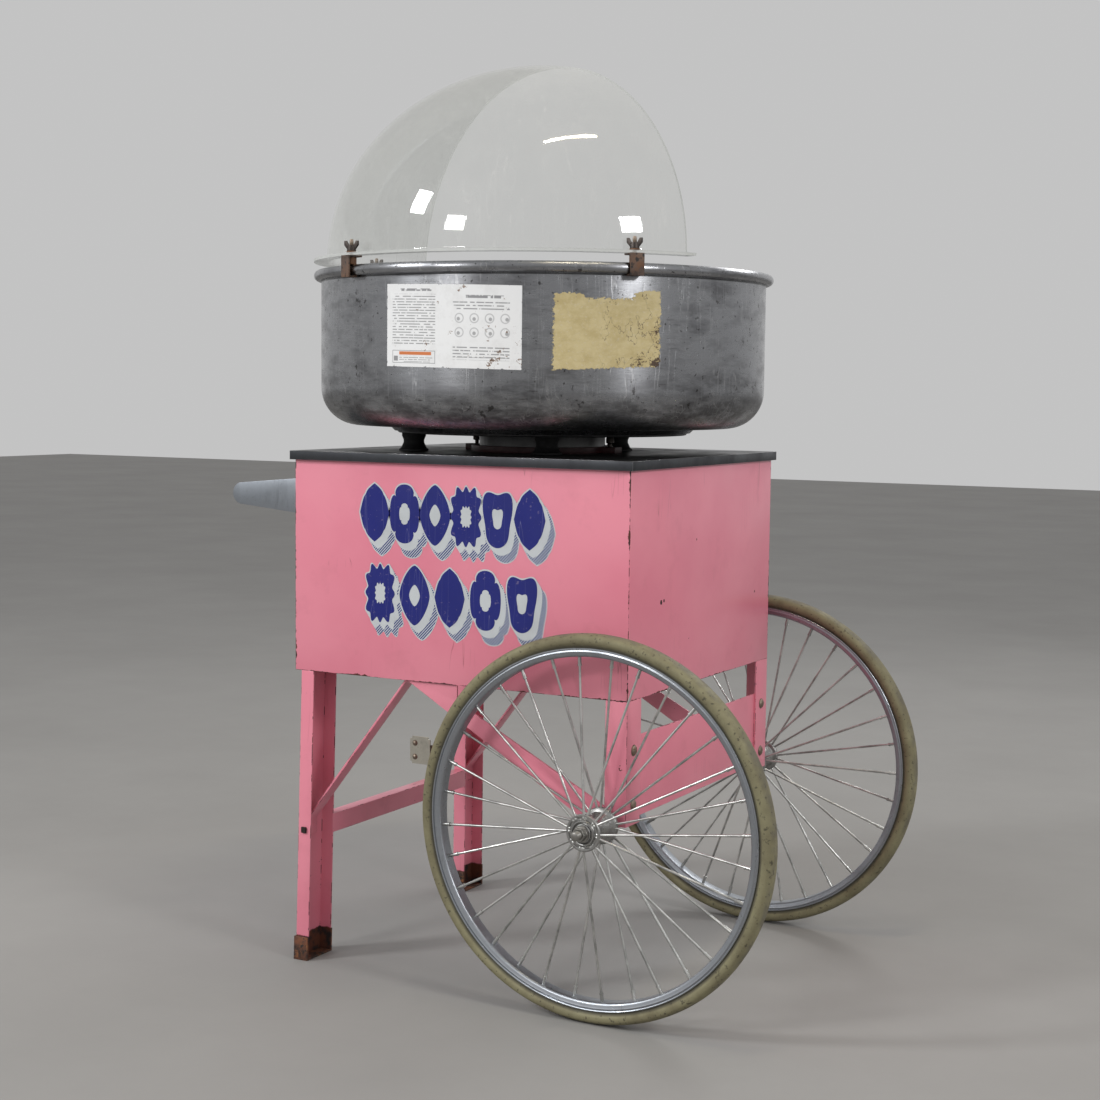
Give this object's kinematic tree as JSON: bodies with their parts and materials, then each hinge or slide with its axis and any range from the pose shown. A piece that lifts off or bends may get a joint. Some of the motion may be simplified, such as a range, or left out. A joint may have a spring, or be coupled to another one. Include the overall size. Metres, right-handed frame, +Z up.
{
  "type": "cotton candy machine",
  "caption": "Cotton candy machine on a hand cart: sheet-metal cabinet on legs and two spoked wheels, with a motor-driven spinning head in a round bowl under a clear half dome.",
  "frame": {"origin": "on the floor, under the middle of the overall length and width", "axes": "+X towards the wheel end, -X towards the push handle, +Y towards the operator's side with the door, +Z up"},
  "size_m": [0.928, 0.686, 1.328],
  "materials": {
    "pink_paint": "worn gloss enamel",
    "dark_steel": "darkened, worn bright at the edge",
    "zinc_sheet": "dull zinc",
    "bowl_aluminium": "brushed, scuffed",
    "clear_acrylic": "clear, scratched",
    "tyre_rubber": "aged olive solid rubber",
    "rim_steel": "dull chrome",
    "spoke_wire": "plated wire",
    "hub_steel": "dull chrome, greasy in the grooves",
    "rusty_boot": "rusted, blackened",
    "bolt_steel": "worn, rust spotted",
    "handle_aluminium": "dull",
    "catch_strap_steel": "brown, worn",
    "nickel_plate": "tarnished nickel",
    "black_rubber": "matt",
    "plate_steel": "black",
    "drum_steel": "dull",
    "motor_enamel": "dark enamel",
    "ground_steel": "ground",
    "maroon_paint": "satin",
    "black_phenolic": "satin",
    "brass": "satin",
    "head_aluminium": "spun",
    "heater_alloy": "heat stained",
    "clip_rust": "rusted",
    "clip_pad": "brown",
    "dark_nut": "blackened",
    "lever_chrome": "polished"
  },
  "bodies": {
    "cart": {"cabinet_shell": "pink_paint", "cabinet_floor": "zinc_sheet", "counter_top": "dark_steel", "cord_grommet": "black_rubber", "door_hinges": "pink_paint", "control_panel": "zinc_sheet", "control_bodies": "zinc_sheet", "front_leg_left": "pink_paint", "front_leg_right": "pink_paint", "front_boots": "rusty_boot", "front_cross_bar": "pink_paint", "front_struts": "pink_paint", "rear_leg_left": "pink_paint", "rear_leg_right": "pink_paint", "rear_braces": "pink_paint", "rear_panel": "pink_paint", "frame_bolts": "bolt_steel", "axle": "hub_steel", "axle_nuts": "hub_steel", "handle_arm_left": "handle_aluminium", "handle_arm_right": "handle_aluminium", "handle_bar": "handle_aluminium", "catch_strap": "catch_strap_steel", "catch_plate": "nickel_plate", "rubber_mounts": "black_rubber", "mounting_plate": "plate_steel", "motor_drum": "drum_steel", "motor_body": "motor_enamel", "motor_bearings": "ground_steel", "motor_collar": "maroon_paint", "brush_housing": "black_phenolic"},
    "wheel_left": {"tyre_left": "tyre_rubber", "rim_left": "rim_steel", "hub_left": "hub_steel", "spokes_left": "spoke_wire"},
    "wheel_right": {"tyre_right": "tyre_rubber", "rim_right": "rim_steel", "hub_right": "hub_steel", "spokes_right": "spoke_wire"},
    "spinner": {"motor_rotor": "ground_steel", "slip_rings": "brass", "spinner_base": "head_aluminium", "heating_band": "heater_alloy", "spinner_cap": "head_aluminium"},
    "bowl": {"bowl": "bowl_aluminium", "dome": "clear_acrylic", "clip_brackets": "clip_rust", "clip_pads": "clip_pad", "clip_bolts": "bolt_steel"},
    "wing_nut_front": {"wing_nut_front": "dark_nut"},
    "wing_nut_middle": {"wing_nut_middle": "dark_nut"},
    "wing_nut_rear": {"wing_nut_rear": "dark_nut"},
    "door": {"door_panel": "pink_paint"},
    "door_latch": {"door_latch": "bolt_steel"},
    "main_switch": {"main_switch_lever": "lever_chrome"},
    "heat_switch": {"heat_switch_lever": "lever_chrome"},
    "heat_knob": {"heat_knob": "black_phenolic"},
    "thumb_screw_front": {"thumb_screw_front": "bolt_steel"},
    "thumb_screw_rear": {"thumb_screw_rear": "bolt_steel"}
  },
  "joints": [
    {"name": "wheel_left_spin", "type": "hinge", "parent": "cart", "child": "wheel_left", "pos_m": [0.199, 0.288, 0.265], "axis": [0, 1, 0], "continuous": true},
    {"name": "wheel_right_spin", "type": "hinge", "parent": "cart", "child": "wheel_right", "pos_m": [0.199, -0.288, 0.265], "axis": [0, 1, 0], "continuous": true},
    {"name": "spinner_spin", "type": "hinge", "parent": "cart", "child": "spinner", "pos_m": [-0.043, 0, 0.826], "axis": [0, 0, 1], "continuous": true},
    {"name": "bowl_lift", "type": "slide", "parent": "cart", "child": "bowl", "axis": [0, 0, 1], "range_m": [0, 0.12]},
    {"name": "door_swing", "type": "hinge", "parent": "cart", "child": "door", "pos_m": [-0.262, 0.251, 0.604], "axis": [0, 0, 1], "range_deg": [0, 120]},
    {"name": "door_latch_turn", "type": "hinge", "parent": "door", "child": "door_latch", "pos_m": [0.032, 0.247, 0.604], "axis": [0, 1, 0], "range_deg": [0, 90]},
    {"name": "main_switch_tilt", "type": "hinge", "parent": "cart", "child": "main_switch", "pos_m": [0.1155, 0.246, 0.662], "axis": [1, 0, 0], "range_deg": [0, 28]},
    {"name": "heat_switch_tilt", "type": "hinge", "parent": "cart", "child": "heat_switch", "pos_m": [0.1755, 0.246, 0.662], "axis": [1, 0, 0], "range_deg": [0, 28]},
    {"name": "heat_knob_turn", "type": "hinge", "parent": "cart", "child": "heat_knob", "pos_m": [0.1455, 0.249, 0.59], "axis": [0, 1, 0], "range_deg": [0, 270]},
    {"name": "thumb_screw_front_turn", "type": "hinge", "parent": "cart", "child": "thumb_screw_front", "pos_m": [-0.158, 0, 0.759], "axis": [0, 0, 1], "range_deg": [0, 720]},
    {"name": "thumb_screw_rear_turn", "type": "hinge", "parent": "cart", "child": "thumb_screw_rear", "pos_m": [0.072, 0, 0.759], "axis": [0, 0, 1], "range_deg": [0, 720]},
    {"name": "wing_nut_front_turn", "type": "hinge", "parent": "bowl", "child": "wing_nut_front", "pos_m": [-0.37623, 0.04683, 1.0423], "axis": [0, 0, 1], "range_deg": [0, 720]},
    {"name": "wing_nut_middle_turn", "type": "hinge", "parent": "bowl", "child": "wing_nut_middle", "pos_m": [-0.17987, -0.30741, 1.0423], "axis": [0, 0, 1], "range_deg": [0, 720]},
    {"name": "wing_nut_rear_turn", "type": "hinge", "parent": "bowl", "child": "wing_nut_rear", "pos_m": [0.21477, -0.2163, 1.0423], "axis": [0, 0, 1], "range_deg": [0, 720]}
  ]
}
